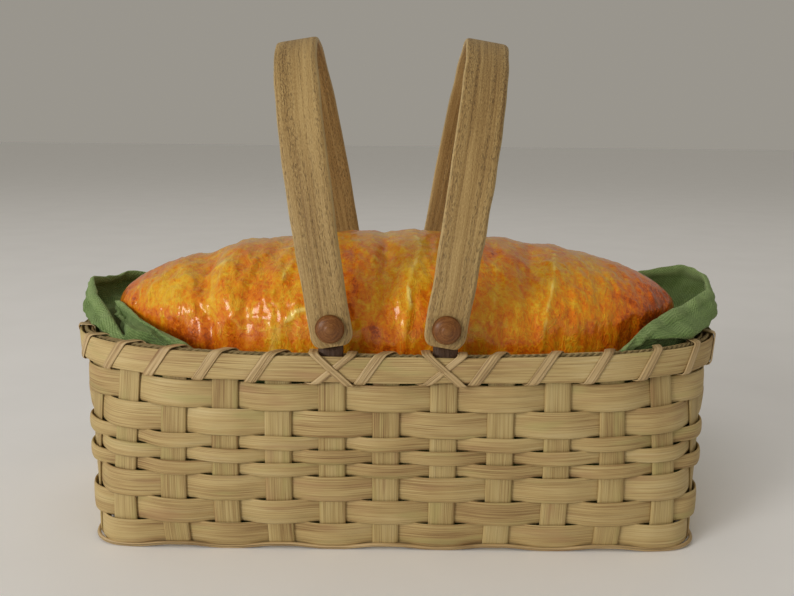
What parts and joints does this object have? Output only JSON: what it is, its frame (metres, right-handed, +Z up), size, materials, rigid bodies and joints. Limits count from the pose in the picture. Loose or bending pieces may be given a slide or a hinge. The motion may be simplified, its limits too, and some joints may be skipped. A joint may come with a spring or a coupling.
{
  "type": "loaf in a cloth-lined woven bread basket",
  "caption": "Long glazed loaf in a cloth-lined oval basket of woven flat reed, with two hooped wooden handles that swing on wooden pegs.",
  "frame": {"origin": "middle of the basket's underside, on the surface it stands on", "axes": "+X along the basket and the loaf, towards the right end as seen from the front; +Y from the front to the back, along the handles' pegs; +Z up"},
  "size_m": [0.4266, 0.2194, 0.3146],
  "materials": {
    "stake_reed": "bare flat reed with lengthwise fibre grain, pale straw with darker streaks",
    "weaver_reed": "bare flat reed with lengthwise fibre grain, warm straw",
    "rim_reed": "half-round rim reed, bare, with long fibre streaks",
    "lashing_reed": "split cane strip, smooth with a low sheen",
    "filler_grass": "two-ply twisted grass cord, olive and straw",
    "handle_wood": "steam-bent open-pored hardwood, satin, with dark pores and paler edges",
    "ear_wood": "the same hardwood, darker",
    "peg_wood": "turned wood, brown, with a soft polish",
    "liner_cloth": "plain-woven cotton, mid green, soft and matt",
    "crust": "baked bread crust under an egg wash: golden orange to red-brown, glossy and wrinkled, with paler bursts"
  },
  "bodies": {
    "basket": {"stake_across_1": "stake_reed", "stake_across_2": "stake_reed", "stake_across_3": "stake_reed", "stake_across_4": "stake_reed", "stake_across_5": "stake_reed", "stake_across_6": "stake_reed", "stake_across_7": "stake_reed", "stake_across_8": "stake_reed", "stake_across_9": "stake_reed", "stake_across_10": "stake_reed", "stake_across_11": "stake_reed", "stake_long_1": "stake_reed", "stake_long_2": "stake_reed", "stake_long_3": "stake_reed", "stake_long_4": "stake_reed", "stake_long_5": "stake_reed", "weaver_1": "weaver_reed", "weaver_2": "weaver_reed", "weaver_3": "weaver_reed", "weaver_4": "weaver_reed", "weaver_5": "weaver_reed", "weaver_6": "weaver_reed", "weaver_7": "weaver_reed", "weaver_8": "weaver_reed", "foot_strand": "lashing_reed", "rim_outer": "rim_reed", "rim_inner": "rim_reed", "filler_right": "filler_grass", "filler_back": "filler_grass", "filler_left": "filler_grass", "filler_front": "filler_grass", "lashing": "lashing_reed", "ear_left_front": "ear_wood", "ear_left_back": "ear_wood", "ear_right_front": "ear_wood", "ear_right_back": "ear_wood", "peg_left_front": "peg_wood", "peg_left_back": "peg_wood", "peg_right_front": "peg_wood", "peg_right_back": "peg_wood", "liner": "liner_cloth", "loaf": "crust"},
    "handle_left": {"handle_left": "handle_wood"},
    "handle_right": {"handle_right": "handle_wood"}
  },
  "joints": [
    {"name": "handle_left_swing", "type": "hinge", "parent": "basket", "child": "handle_left", "pos_m": [-0.038, 0, 0.1443], "axis": [0, 1, 0], "range_deg": [-65, 15.5]},
    {"name": "handle_right_swing", "type": "hinge", "parent": "basket", "child": "handle_right", "pos_m": [0.028, 0, 0.1443], "axis": [0, 1, 0], "range_deg": [-15.5, 65]}
  ]
}
